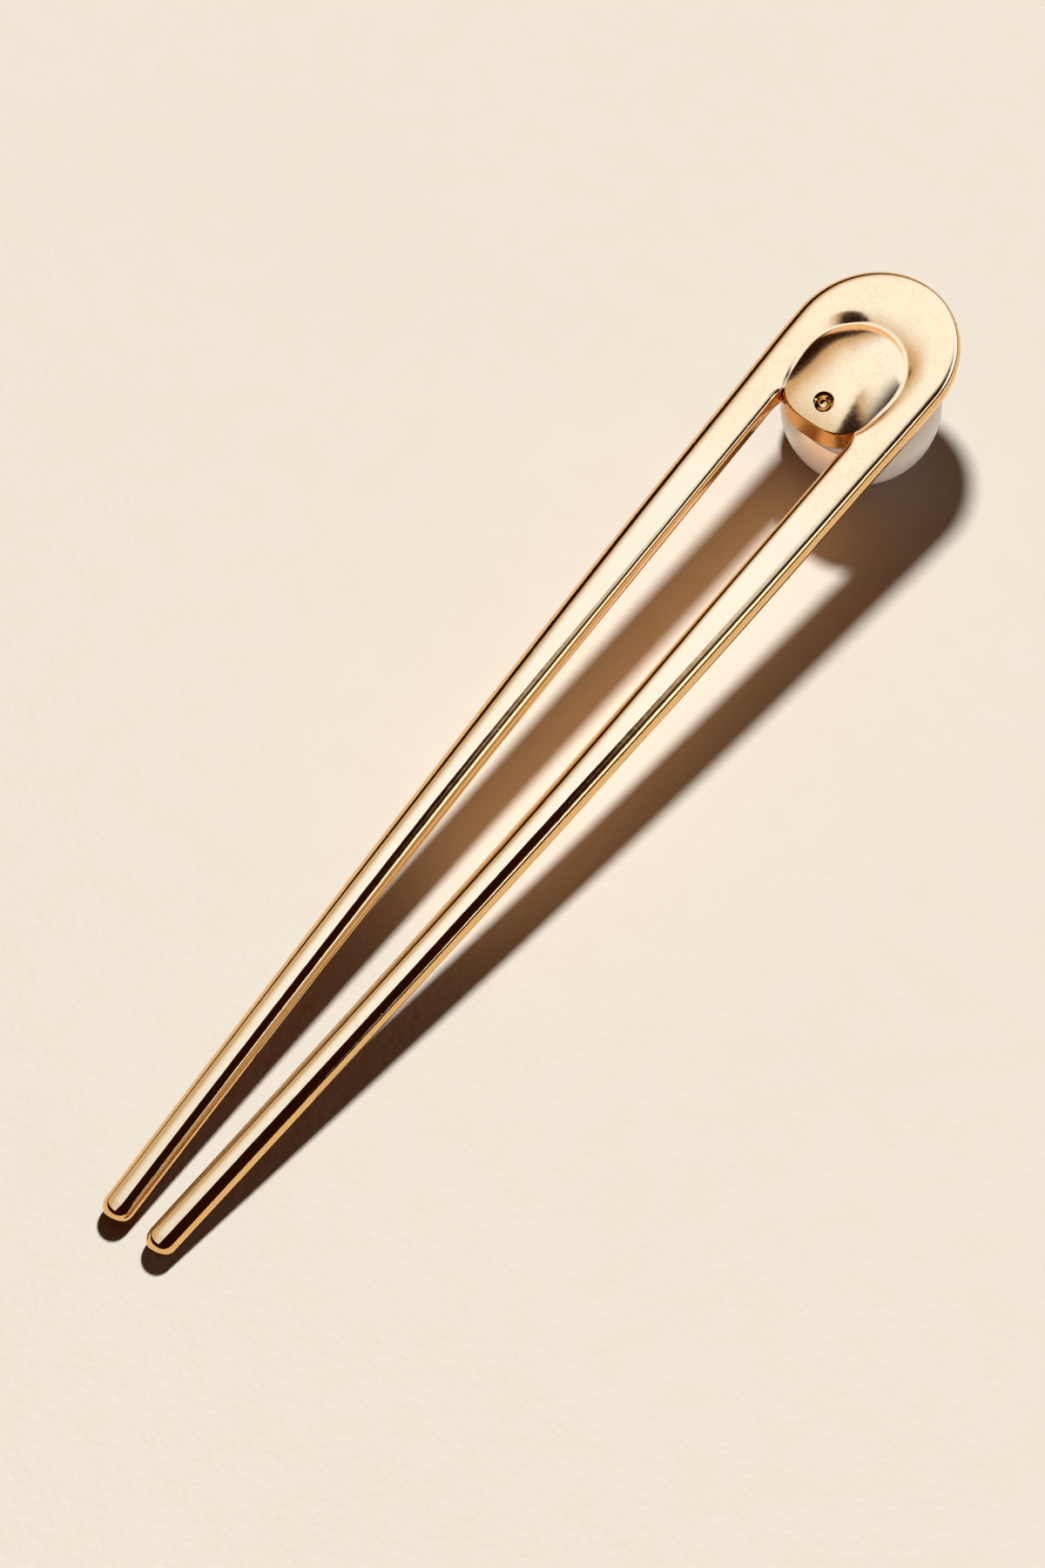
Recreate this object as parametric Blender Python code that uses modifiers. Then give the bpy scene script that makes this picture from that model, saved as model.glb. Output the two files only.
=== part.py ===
# A two-legged hair pin: one gilt casting with a flat back, and an imitation
# pearl glued to a peg on its front. It lies back upward, as it is put down on a
# table, on the pearl and on the tips of both legs.
# Metres, +Z up, +Y from the tips to the arch, origin under the middle of the pin.
import bmesh
import bpy
from math import asin, atan2, copysign, cos, hypot, pi, sin, sqrt
from mathutils import Vector

# The pin as a whole
PIN_LENGTH = 0.120
HEAD_WIDTH = 0.0167
HEAD_THICKNESS = 0.0030

# Arch of the head: half an ellipse on two shoulders that swell out of the legs
ARCH_RISE = 0.0100
SHOULDER_LENGTH = 0.0140

# Legs: wide and flat at the head, round at the tips
LEG_WIDTH = 0.0040
TIP_DIAMETER = 0.0028
HEAD_GAP = 0.0080
TIP_GAP = 0.0018
GAP_BOW_SHARE = 0.5
BACK_EDGE_RADIUS = 0.00095
FRONT_EDGE_RADIUS = 0.0011
TIP_FLAT_SHARE = 0.06

# Oval dome on the back of the head, with the web under it that joins the legs
DOME_WIDTH = 0.0099
DOME_LENGTH = 0.0133
DOME_SQUARENESS = 2.4
DOME_SETBACK = 0.0070
DOME_HEIGHT = 0.00145
DOME_RIM_DROP = 0.0004
DOME_EDGE_RADIUS = 0.00025
WEB_FRONT_STEP = 0.00015
NOTCH_LENGTH = 0.0055
BURIED_GAP = 0.0052

# Soft dip in the back that runs down to the upper rim of the dome
DIP_WIDTH = 0.0122
DIP_LENGTH = 0.0160
DIP_SETBACK = 0.0040
DIP_DEPTH = 0.0011

# Small countersunk hole near the lower end of the dome
HOLE_DIAMETER = 0.0014
HOLE_SINK_DIAMETER = 0.0018
HOLE_DEPTH = 0.0011
HOLE_RIM_DISTANCE = 0.0022
HOLE_POINT_SHARE = 0.25

# Pearl on its peg, and the ring of glue round it
PEARL_DIAMETER = 0.0160
PEARL_SETBACK = 0.0091
PEARL_GAP = 0.0003
PEARL_DRILL_DEPTH = 0.0085
PEG_DIAMETER = 0.0012
PEG_CHAMFER = 0.00015
PEG_CLEARANCE = 0.0003
PEG_HOLE_DEPTH = 0.0017
GLUE_DIAMETER = 0.0080
GLUE_BORE = 0.0040
GLUE_CLEARANCE = 0.00015

# Overrun of every cutter past the face that it opens
OVERRUN = 0.0010

# Fineness of the solids
CORNER_STEPS = 5
LEG_STATIONS = 22
SHOULDER_STATIONS = 7
ARCH_STATIONS = 18
TIP_STATIONS = 5
ROUND_STEPS = 48
SMALL_STEPS = 24
DOME_STEPS = 10
DIP_STEPS = 8
PEARL_RINGS = 26

# Points closer than this are one point
MERGE_DISTANCE = 0.000005

# Places that follow from the sizes, with Y measured from the tips and Z from
# the flat back of the head
ARCH_CENTRE_Y = PIN_LENGTH - ARCH_RISE
LEG_LENGTH = ARCH_CENTRE_Y - SHOULDER_LENGTH
DOME_CENTRE_Y = PIN_LENGTH - DOME_SETBACK - DOME_LENGTH / 2
DIP_CENTRE_Y = PIN_LENGTH - DIP_SETBACK - DIP_LENGTH / 2
HOLE_Y = DOME_CENTRE_Y - DOME_LENGTH / 2 + HOLE_RIM_DISTANCE
PEARL_RADIUS = PEARL_DIAMETER / 2
PEARL_Y = PIN_LENGTH - PEARL_SETBACK
PEARL_TOP_Z = -HEAD_THICKNESS - PEARL_GAP
PEARL_Z = PEARL_TOP_Z - PEARL_RADIUS
PEG_HOLE_RADIUS = PEG_DIAMETER / 2 + PEG_CLEARANCE
TIP_RADIUS = TIP_DIAMETER / 2
MIDDLE_Z = -HEAD_THICKNESS / 2
WEB_FRONT_Z = -HEAD_THICKNESS + WEB_FRONT_STEP


def lerp(start, end, share):
    return start + (end - start) * share


def smooth(share):
    return share * share * (3 - 2 * share)


def leg_share(y):
    # 0 at the tips, 1 where the legs run into the head
    return min(max(y / LEG_LENGTH, 0), 1)


def half_gap(y):
    share = leg_share(y)
    bowed = share * (1 + GAP_BOW_SHARE * (1 - share))
    return lerp(TIP_GAP, HEAD_GAP, bowed) / 2


def leg_width(y):
    share = leg_share(y)
    return lerp(TIP_DIAMETER, LEG_WIDTH, (share + smooth(share)) / 2)


def leg_outer(y):
    return half_gap(y) + leg_width(y)


def shoulder_outer(y):
    # A cubic that leaves the leg at the leg's own slope and meets the arch upright
    step = LEG_LENGTH / LEG_STATIONS
    slope = (leg_outer(LEG_LENGTH) - leg_outer(LEG_LENGTH - step)) / step
    share = (y - LEG_LENGTH) / SHOULDER_LENGTH
    rising = share * (1 - share) ** 2 * SHOULDER_LENGTH * slope
    return lerp(leg_outer(LEG_LENGTH), HEAD_WIDTH / 2, smooth(share)) + rising


def edge_radius(y, head_radius):
    # Edges grow from the head's small rounds to a round rod at the tips
    full = leg_width(y) / 2 * (1 - TIP_FLAT_SHARE)
    return lerp(full, head_radius, smooth(leg_share(y)))


def thickness(y):
    return lerp(TIP_DIAMETER, HEAD_THICKNESS, leg_share(y))


def quarter(centre, sideways, radius, start):
    # A quarter round in the plane of sideways and Z, clockwise from start
    points = []
    for step in range(CORNER_STEPS + 1):
        angle = start - pi / 2 * step / CORNER_STEPS
        offset = sideways * cos(angle) + Vector((0, 0, sin(angle)))
        points.append(centre + offset * radius)
    return points


def section(outer, inner, outward, y):
    # Closed ring round the metal between the outer and the inner edge
    back_round = edge_radius(y, BACK_EDGE_RADIUS)
    front_round = edge_radius(y, FRONT_EDGE_RADIUS)
    back = Vector((0, 0, MIDDLE_Z + thickness(y) / 2 - back_round))
    front = Vector((0, 0, MIDDLE_Z - thickness(y) / 2 + front_round))
    inward = (inner - outer).normalized()
    ring = quarter(outer - outward * back_round + back, outward, back_round, pi / 2)
    ring += quarter(outer - outward * front_round + front, outward, front_round, 0)
    ring += reversed(quarter(inner - inward * front_round + front, inward, front_round, 0))
    ring += reversed(quarter(inner - inward * back_round + back, inward, back_round, pi / 2))
    return ring


def cross_section(outer_x, inner_x, y):
    return section(Vector((outer_x, y, 0)), Vector((inner_x, y, 0)), Vector((1, 0, 0)), y)


def tip_rings():
    # The round end of a leg: the first section of the leg drawn in on its middle
    full = cross_section(leg_outer(TIP_RADIUS), half_gap(TIP_RADIUS), TIP_RADIUS)
    middle = sum(full, Vector()) / len(full)
    rings = [[middle - Vector((0, TIP_RADIUS, 0))]]
    for step in range(1, TIP_STATIONS + 1):
        angle = pi / 2 * step / TIP_STATIONS
        back_off = Vector((0, TIP_RADIUS * cos(angle), 0))
        rings.append([middle + (point - middle) * sin(angle) - back_off for point in full])
    return rings


def leg_rings():
    rings = []
    for step in range(1, LEG_STATIONS + 1):
        y = lerp(TIP_RADIUS, LEG_LENGTH, step / LEG_STATIONS)
        rings.append(cross_section(leg_outer(y), half_gap(y), y))
    return rings


def shoulder_rings():
    # The inner edge runs on past the notch, then turns in under the dome
    rings = []
    for step in range(1, SHOULDER_STATIONS + 1):
        y = lerp(LEG_LENGTH, ARCH_CENTRE_Y, step / SHOULDER_STATIONS)
        past_notch = (y - LEG_LENGTH - NOTCH_LENGTH) / (SHOULDER_LENGTH - NOTCH_LENGTH)
        inner_x = lerp(half_gap(y), BURIED_GAP / 2, smooth(max(past_notch, 0)))
        rings.append(cross_section(shoulder_outer(y), inner_x, y))
    return rings


def arch_rings():
    # The inner end of each section stays under the dome, on a flat half ellipse
    inner_rise = (DOME_CENTRE_Y + DOME_LENGTH / 2 - ARCH_CENTRE_Y) / 2
    rings = []
    for step in range(1, ARCH_STATIONS + 1):
        angle = pi / 2 * step / ARCH_STATIONS
        across = cos(angle) if step < ARCH_STATIONS else 0
        along = sin(angle)
        outer = Vector((HEAD_WIDTH / 2 * across, ARCH_CENTRE_Y + ARCH_RISE * along, 0))
        inner = Vector((BURIED_GAP / 2 * across, ARCH_CENTRE_Y + inner_rise * along, 0))
        outward = Vector((ARCH_RISE * across, HEAD_WIDTH / 2 * along, 0)).normalized()
        rings.append(section(outer, inner, outward, ARCH_CENTRE_Y))
    return rings


def loft(name, rings):
    # Faces between neighbouring rings; a ring of one point closes an end
    mesh = bpy.data.meshes.new(name)
    build = bmesh.new()
    loops = [[build.verts.new(point) for point in ring] for ring in rings]
    for near, far in zip(loops, loops[1:]):
        count = max(len(near), len(far))
        for index in range(count):
            following = (index + 1) % count
            corners = [near[index % len(near)], near[following % len(near)]]
            corners += [far[following % len(far)], far[index % len(far)]]
            build.faces.new(list(dict.fromkeys(corners)))
    bmesh.ops.recalc_face_normals(build, faces=build.faces)
    build.to_mesh(mesh)
    build.free()
    return mesh


def dome_z(across_share):
    # Height of the dome at a share of the way from its middle to its rim
    half_width = DOME_WIDTH / 2
    rise = DOME_HEIGHT + DOME_RIM_DROP
    ball = (half_width ** 2 + rise ** 2) / (2 * rise)
    return DOME_HEIGHT - ball + sqrt(ball ** 2 - (across_share * half_width) ** 2)


def oval_ring(inset, z):
    # The dome's outline drawn in by inset: an oval a little squarer than an ellipse
    half_width = DOME_WIDTH / 2 - inset
    half_length = DOME_LENGTH / 2 - inset
    power = 2 / DOME_SQUARENESS
    ring = []
    for step in range(ROUND_STEPS):
        angle = 2 * pi * step / ROUND_STEPS
        across = copysign(abs(cos(angle)) ** power, cos(angle))
        along = copysign(abs(sin(angle)) ** power, sin(angle))
        ring.append(Vector((half_width * across, DOME_CENTRE_Y + half_length * along, z)))
    return ring


def dome_mesh():
    half_width = DOME_WIDTH / 2
    top_share = 1 - DOME_EDGE_RADIUS / half_width
    rings = [[Vector((0, DOME_CENTRE_Y, DOME_HEIGHT))]]
    for step in range(1, DOME_STEPS + 1):
        share = top_share * step / DOME_STEPS
        rings.append(oval_ring(half_width * (1 - share), dome_z(share)))
    rim_z = dome_z(top_share) - DOME_EDGE_RADIUS
    for step in range(1, CORNER_STEPS + 1):
        angle = pi / 2 * step / CORNER_STEPS
        inset = DOME_EDGE_RADIUS * (1 - sin(angle))
        rings.append(oval_ring(inset, rim_z + DOME_EDGE_RADIUS * cos(angle)))
    for step in range(CORNER_STEPS + 1):
        angle = pi / 2 * step / CORNER_STEPS
        inset = DOME_EDGE_RADIUS * (1 - cos(angle))
        rings.append(oval_ring(inset, WEB_FRONT_Z + DOME_EDGE_RADIUS * (1 - sin(angle))))
    rings.append([Vector((0, DOME_CENTRE_Y, WEB_FRONT_Z))])
    return loft('dome_form', rings)


def dip_profile():
    # Underside of a large ball that only touches the back within the dip
    half_width = DIP_WIDTH / 2
    ball = (half_width ** 2 + DIP_DEPTH ** 2) / (2 * DIP_DEPTH)
    rim_share = (half_width + OVERRUN) / half_width
    points = [(0, OVERRUN)]
    for step in range(DIP_STEPS + 1):
        across = half_width * rim_share * (1 - step / DIP_STEPS)
        points.append((across, ball - DIP_DEPTH - sqrt(ball ** 2 - across ** 2)))
    return points


def hole_profile():
    # Countersink, straight wall and drill point, from the dome's surface down
    sink = (HOLE_SINK_DIAMETER - HOLE_DIAMETER) / 2
    radius = HOLE_DIAMETER / 2
    return [(0, OVERRUN), (HOLE_SINK_DIAMETER / 2 + OVERRUN, OVERRUN), (radius, -sink),
            (radius, -HOLE_DEPTH), (0, -HOLE_DEPTH - radius * HOLE_POINT_SHARE)]


def peg_hole_profile():
    # Blind hole in the front that takes the peg
    top = -HEAD_THICKNESS + PEG_HOLE_DEPTH
    low = -HEAD_THICKNESS - OVERRUN
    return [(0, top), (PEG_HOLE_RADIUS, top), (PEG_HOLE_RADIUS, low), (0, low)]


def pearl_profile():
    # The drilled hole from its bottom up, then the outside down to the pole
    bottom = PEARL_RADIUS - PEARL_DRILL_DEPTH
    mouth = asin(PEG_HOLE_RADIUS / PEARL_RADIUS)
    points = [(0, bottom), (PEG_HOLE_RADIUS, bottom)]
    for step in range(PEARL_RINGS):
        angle = lerp(mouth, pi, step / PEARL_RINGS)
        points.append((PEARL_RADIUS * sin(angle), PEARL_RADIUS * cos(angle)))
    return points + [(0, -PEARL_RADIUS)]


def peg_profile():
    # A plain post that stops short of the bottom of both of its holes
    radius = PEG_DIAMETER / 2
    top = -HEAD_THICKNESS + PEG_HOLE_DEPTH - PEG_CLEARANCE
    low = PEARL_TOP_Z - PEARL_DRILL_DEPTH + PEG_CLEARANCE
    return [(0, top), (radius - PEG_CHAMFER, top), (radius, top - PEG_CHAMFER),
            (radius, low + PEG_CHAMFER), (radius - PEG_CHAMFER, low), (0, low)]


def glue_profile():
    # A wedge-shaped ring between the flat front and the pearl
    ball = PEARL_RADIUS + GLUE_CLEARANCE
    top = -HEAD_THICKNESS - GLUE_CLEARANCE
    points = [(GLUE_BORE / 2, top), (GLUE_DIAMETER / 2, top)]
    for step in range(CORNER_STEPS + 1):
        across = lerp(GLUE_DIAMETER, GLUE_BORE, step / CORNER_STEPS) / 2
        points.append((across, PEARL_Z + sqrt(ball ** 2 - across ** 2)))
    return points + points[:1]


def make_collection(name):
    collection = bpy.data.collections.new(name)
    bpy.context.scene.collection.children.link(collection)
    return collection


def make_material(name, colour, metallic, roughness):
    material = bpy.data.materials.new(name)
    material.use_nodes = True
    shader = material.node_tree.nodes['Principled BSDF']
    shader.inputs['Base Color'].default_value = (*colour, 1)
    shader.inputs['Metallic'].default_value = metallic
    shader.inputs['Roughness'].default_value = roughness
    material.diffuse_color = (*colour, 1)
    return material


def add_object(name, mesh, collection, frame):
    thing = bpy.data.objects.new(name, mesh)
    collection.objects.link(thing)
    thing.parent = frame
    return thing


def turned(name, profile, steps, collection, frame):
    # A profile in the XZ plane, turned about Z
    mesh = bpy.data.meshes.new(name)
    build = bmesh.new()
    verts = [build.verts.new((across, 0, up)) for across, up in profile]
    for near, far in zip(verts, verts[1:]):
        build.edges.new((near, far))
    bmesh.ops.remove_doubles(build, verts=build.verts, dist=MERGE_DISTANCE)
    build.to_mesh(mesh)
    build.free()
    thing = add_object(name, mesh, collection, frame)
    screw = thing.modifiers.new('turn', 'SCREW')
    screw.axis = 'Z'
    screw.angle = 2 * pi
    screw.steps = steps
    screw.render_steps = steps
    screw.use_merge_vertices = True
    screw.merge_threshold = MERGE_DISTANCE
    return thing


def as_tool(thing):
    thing.hide_render = True
    thing.display_type = 'WIRE'
    return thing


def combine(body, tool, operation):
    boolean = body.modifiers.new(tool.name, 'BOOLEAN')
    boolean.operation = operation
    boolean.solver = 'EXACT'
    boolean.object = tool


def make_casting(parts, tools, frame, gilt):
    half = loft('pin_casting', tip_rings() + leg_rings() + shoulder_rings() + arch_rings())
    casting = add_object('pin_casting', half, parts, frame)
    casting.data.materials.append(gilt)
    mirror = casting.modifiers.new('second leg', 'MIRROR')
    mirror.merge_threshold = MERGE_DISTANCE

    dip = as_tool(turned('dip_tool', dip_profile(), ROUND_STEPS, tools, frame))
    dip.location.y = DIP_CENTRE_Y
    dip.scale.y = DIP_LENGTH / DIP_WIDTH
    combine(casting, dip, 'DIFFERENCE')

    dome = as_tool(add_object('dome_form', dome_mesh(), tools, frame))
    combine(casting, dome, 'UNION')

    peg_hole = as_tool(turned('peg_hole_tool', peg_hole_profile(), SMALL_STEPS, tools, frame))
    peg_hole.location.y = PEARL_Y
    combine(casting, peg_hole, 'DIFFERENCE')

    # The small hole stands square to the slope of the dome
    hole = as_tool(turned('hole_tool', hole_profile(), SMALL_STEPS, tools, frame))
    rim_share = (DOME_CENTRE_Y - HOLE_Y) / (DOME_LENGTH / 2)
    nearby_share = rim_share + 1 / SMALL_STEPS
    fall = dome_z(rim_share) - dome_z(nearby_share)
    hole.location = (0, HOLE_Y, dome_z(rim_share))
    hole.rotation_euler.x = atan2(fall, (nearby_share - rim_share) * DOME_LENGTH / 2)
    combine(casting, hole, 'DIFFERENCE')


def make_pearl(parts, frame, coated):
    pearl = turned('pearl', pearl_profile(), ROUND_STEPS, parts, frame)
    pearl.location = (0, PEARL_Y, PEARL_Z)
    pearl.data.materials.append(coated)


def make_peg(parts, frame, brass):
    peg = turned('pearl_peg', peg_profile(), SMALL_STEPS, parts, frame)
    peg.location.y = PEARL_Y
    peg.data.materials.append(brass)


def make_glue(parts, frame, resin):
    glue = turned('glue_ring', glue_profile(), SMALL_STEPS, parts, frame)
    glue.location.y = PEARL_Y
    glue.data.materials.append(resin)


def resting_tilt():
    # The table touches the pearl and the round tips of the legs
    along = PEARL_Y - TIP_RADIUS
    down = MIDDLE_Z - PEARL_Z
    reach = hypot(along, down)
    return atan2(down, along) + asin((PEARL_RADIUS - TIP_RADIUS) / reach)


def settle(frame, solids):
    # Lays the pin down and puts the origin under the middle of its box
    frame.rotation_euler.x = resting_tilt()
    bpy.context.view_layer.update()
    depsgraph = bpy.context.evaluated_depsgraph_get()
    corners = []
    for thing in solids:
        solid = thing.evaluated_get(depsgraph)
        mesh = solid.to_mesh()
        corners += [solid.matrix_world @ vert.co for vert in mesh.vertices]
        solid.to_mesh_clear()
    low = [min(corner[axis] for corner in corners) for axis in range(3)]
    high = [max(corner[axis] for corner in corners) for axis in range(3)]
    frame.location.y = -(low[1] + high[1]) / 2
    frame.location.z = -low[2]


def main():
    for thing in list(bpy.data.objects):
        bpy.data.objects.remove(thing, do_unlink=True)
    parts = make_collection('hair_u_pin')
    tools = make_collection('cutters')
    frame = bpy.data.objects.new('resting_pin', None)
    parts.objects.link(frame)

    gilt = make_material('gilt_zinc_casting', (0.86, 0.62, 0.33), 1, 0.16)
    coated = make_material('pearl_coating', (0.89, 0.85, 0.80), 0, 0.22)
    brass = make_material('plain_brass', (0.78, 0.58, 0.30), 1, 0.30)
    resin = make_material('clear_resin', (0.85, 0.80, 0.66), 0, 0.35)

    make_casting(parts, tools, frame, gilt)
    make_pearl(parts, frame, coated)
    make_peg(parts, frame, brass)
    make_glue(parts, frame, resin)
    settle(frame, [thing for thing in parts.objects if thing.type == 'MESH'])


main()
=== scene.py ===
from math import asin, atan2, cos, hypot, pi, radians, sin, sqrt

import bmesh
import bpy
from mathutils import Matrix, Vector


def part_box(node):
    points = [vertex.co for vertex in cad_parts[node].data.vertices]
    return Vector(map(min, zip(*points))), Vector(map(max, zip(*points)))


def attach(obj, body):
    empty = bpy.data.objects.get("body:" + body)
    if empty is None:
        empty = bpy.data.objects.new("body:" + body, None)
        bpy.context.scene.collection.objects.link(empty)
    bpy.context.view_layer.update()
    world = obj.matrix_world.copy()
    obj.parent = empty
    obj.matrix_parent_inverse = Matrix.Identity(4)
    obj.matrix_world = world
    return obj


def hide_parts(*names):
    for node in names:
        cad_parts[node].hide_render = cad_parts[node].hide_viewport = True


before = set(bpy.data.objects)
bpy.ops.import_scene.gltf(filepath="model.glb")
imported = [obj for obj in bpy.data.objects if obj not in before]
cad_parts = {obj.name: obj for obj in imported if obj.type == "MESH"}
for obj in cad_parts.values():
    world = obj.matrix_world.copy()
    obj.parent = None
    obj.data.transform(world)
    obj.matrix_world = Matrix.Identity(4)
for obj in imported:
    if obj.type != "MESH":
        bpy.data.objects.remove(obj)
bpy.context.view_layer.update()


# The pin is drawn in millimetres in its own frame: x across both legs, y from the tips
# to the arch, z up out of the flat back of the head. The stage is in metres.
mm = 0.001


def mix(start, end, share):
    return start + (end - start) * share


def clamp(value, low=0.0, high=1.0):
    return min(max(value, low), high)


def smooth(share):
    share = clamp(share)
    return share * share * (3 - 2 * share)


def ramp(value, start, end):
    # 0 up to start, 1 from end on, soft at both
    return smooth((value - start) / (end - start))


def up(height):
    return Vector((0, 0, height))


def quarterTurn(steps):
    return [pi / 2 * count / steps for count in range(steps + 1)]


def linear(hexColour):
    # sRGB hex to the linear colour that the shaders take
    channels = []
    for index in (1, 3, 5):
        value = int(hexColour[index:index + 2], 16) / 255
        channels.append(value / 12.92 if value <= 0.04045 else ((value + 0.055) / 1.055) ** 2.4)
    return (*channels, 1)


def fillInputs(tree, node, inputs):
    # An input takes a plain value or the link from another node's output
    for name, value in inputs.items():
        if isinstance(value, bpy.types.NodeSocket):
            tree.links.new(value, node.inputs[name])
        else:
            node.inputs[name].default_value = value


def addNode(tree, kind, settings, inputs):
    made = tree.nodes.new("ShaderNode" + kind)
    for name, value in settings.items():
        setattr(made, name, value)
    fillInputs(tree, made, inputs)
    return made.outputs


# Settings that many nodes share
colours = {"data_type": "RGBA"}
softRamp = {"interpolation_type": "SMOOTHSTEP"}
product = {"operation": "MULTIPLY"}


def newMaterial(name):
    material = bpy.data.materials.new(name)
    material.use_nodes = True
    return material, material.node_tree


def addObject(name, data):
    made = bpy.data.objects.new(name, data)
    bpy.context.scene.collection.objects.link(made)
    return made


# The casting: both legs and the head
casting = dict(
    length=120.0,
    thickness=3.0,
    headHalfWidth=8.35,
    archRise=10.0,
    archFrom=0.47,           # share of the head's sections that lie below the arch
    legLength=96.0,          # from the tips up to where the shoulders begin to swell
    legWidth=4.0,
    tipDiameter=2.8,
    tipThickness=2.75,
    tipEnd=0.04,             # where the squarer tips end, so that they stay inside the CAD's
    tipPower=2.2,            # 2 is a round tip, more is squarer
    tipFlat=0.06,            # share of the tips' width that stays flat
    headGap=8.0,
    tipGap=1.8,
    gapBow=0.5,              # how far the inner edges bow out on their way up
    outerRound=1.40,         # edge rounds of the head: outside, inside and front
    backRound=0.95,
    frontRound=1.05,
    rodUpTo=42.0,            # the legs are rods up to here and flat-backed from flatFrom
    flatFrom=86.0,
    notchFade=2.2,           # the inner rounds fade out over this much of the leg below the notch
    notchRun=3.0,            # stretch below the notch with closer sections
)

dome = dict(
    centre=106.4,
    halfWidth=4.95,
    halfLength=6.65,
    upperPower=2.1,          # 2 is an ellipse, more is squarer
    lowerPower=2.9,
    apex=1.18,               # height over the flat back
    rimDrop=0.34,            # how far the rim lies under the flat back
    topRimDrop=0.52,         # and how much further at its upper end
    dropPower=1.3,           # more lets that drop set in closer to the rim
    lipRound=0.30,           # edge between the dome and the wall below it
    lipLean=36,              # slope of the dome where it meets that edge, in degrees
    lipFade=14,              # degrees over which the edge's round fades out at the notch
    notchBetween=(-80, -10),  # the rim crosses the legs' inner edges between these directions
)

# The dip round the dome
dish = dict(
    lowest=90.0,             # no dip below this y
    side=1.30,               # reach beyond the rim: at the sides, the top and the notches
    top=3.20,
    notch=0.80,
    notchTurn=45,            # degrees down from the sides where the reach is the notches'
    under=1.5,               # how far its slope goes on under the dome
    groove=0.26,             # how softly dome and dip run into each other
    grooveTurn=(-50, -20),   # degrees from the sides between which the groove sets in
    grooveReach=1.25,        # the groove ends at this many dome radii
)

hole = dict(
    y=102.0,
    sinkRadius=1.02,
    depth=0.90,
    bowlReach=0.66,
    bowlRound=0.72,
    bowlSteps=8,
    sink=((0.70, 0.26), (0.73, 0.20), (0.94, 0.07), (0.98, 0.025)),  # radius and depth, outwards
)

pegHole = dict(y=110.9, radius=0.9, depth=1.7)

# How many steps each stretch of the surface gets, and how far they crowd at its ends
fineness = dict(
    flat=26, flatCrowd=1.5, round=8, wall=2, front=6, head=64, lowerRim=40,
    leg=120, notch=16, notchCrowd=1.6, tip=16, cap=36, capCrowd=0.75,
)
halvings = 45                # enough to find a crossing to the last digit
mergeWithin = 0.0015


def halfGap(y):
    share = y / casting["legLength"]
    bowed = share * (1 + casting["gapBow"] * (1 - share))
    return mix(casting["tipGap"], casting["headGap"], bowed) / 2


def legWidthAt(y):
    share = clamp(y / casting["legLength"])
    return mix(casting["tipDiameter"], casting["legWidth"], (share + smooth(share)) / 2)


def outerEdge(y):
    # Outer edge of the leg, then the shoulder that swells up to the arch
    top = casting["legLength"]
    if y <= top:
        return halfGap(y) + legWidthAt(y)
    reach = casting["length"] - casting["archRise"] - top
    atTop = halfGap(top) + legWidthAt(top)
    slope = atTop - halfGap(top - 1) - legWidthAt(top - 1)
    share = (y - top) / reach
    swell = mix(atTop, casting["headHalfWidth"], smooth(share))
    return swell + share * (1 - share) ** 2 * reach * slope


def edgeRound(y, headRound):
    full = legWidthAt(y) / 2 * (1 - casting["tipFlat"])
    return mix(full, headRound, ramp(y, casting["rodUpTo"], casting["flatFrom"]))


def sinkAt(y):
    # How far the back of the thinner leg lies under the flat back of the head
    share = clamp(y / casting["legLength"])
    return (casting["thickness"] - mix(casting["tipThickness"], casting["thickness"], share)) / 2


def domeShare(x, y):
    # 0 in the middle of the dome, 1 on its rim, more outside; squarer towards the lower rim
    across = abs(x) / dome["halfWidth"]
    along = (y - dome["centre"]) / dome["halfLength"]
    rim = mix(dome["upperPower"], dome["lowerPower"], smooth(-along))
    power = mix(2, rim, smooth(hypot(across, along)))
    return (across ** power + abs(along) ** power) ** (1 / power)


def turnAt(x, y):
    # Direction from the dome's centre: 0 at its sides, a quarter turn at its top
    return atan2(y - dome["centre"], abs(x))


def rimPoint(angle):
    # The rim in the direction of angle from the dome's centre
    near, far = 0.0, 2 * dome["halfLength"]
    for _ in range(halvings):
        reach = (near + far) / 2
        inside = domeShare(reach * cos(angle), dome["centre"] + reach * sin(angle)) < 1
        near, far = (reach, far) if inside else (near, reach)
    return Vector((near * cos(angle), dome["centre"] + near * sin(angle), 0))


def rimInward(angle):
    nudge = 0.002
    along = (rimPoint(angle + nudge) - rimPoint(angle - nudge)).normalized()
    return Vector((-along.y, along.x, 0))


def backHeight(x, y):
    # The back face: the dome, then the dip round it, then flat
    share = domeShare(x, y)
    turn = turnAt(x, y)
    drop = dome["rimDrop"] + dome["topRimDrop"] * smooth(sin(turn)) ** 2
    if turn >= 0:
        reach = mix(dish["side"], dish["top"], sin(turn))
    else:
        reach = mix(dish["side"], dish["notch"], ramp(turn, 0, -radians(dish["notchTurn"])))
    rimReach = hypot(x, y - dome["centre"]) / max(share, 0.01)   # the rim's distance this way
    fade = clamp(1 - (share - 1) * rimReach / reach, 0.0, dish["under"])
    dip = -drop * fade * fade
    if share > dish["grooveReach"]:
        return dip
    half = dome["halfWidth"]
    rise = dome["apex"] + dome["rimDrop"]
    ball = (half * half + rise * rise) / (2 * rise)
    cap = sqrt(ball * ball - (share * half) ** 2) - (ball - rise)
    cap -= mix(dome["rimDrop"], drop, share ** dome["dropPower"])
    soft = dish["groove"] * ramp(turn, *(radians(degrees) for degrees in dish["grooveTurn"]))
    if soft < 0.01:          # a crisp edge near the notches
        return cap if share <= 1 else dip
    overlap = max(soft - abs(cap - dip), 0)
    return max(cap, dip) + overlap * overlap / (4 * soft)


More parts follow.
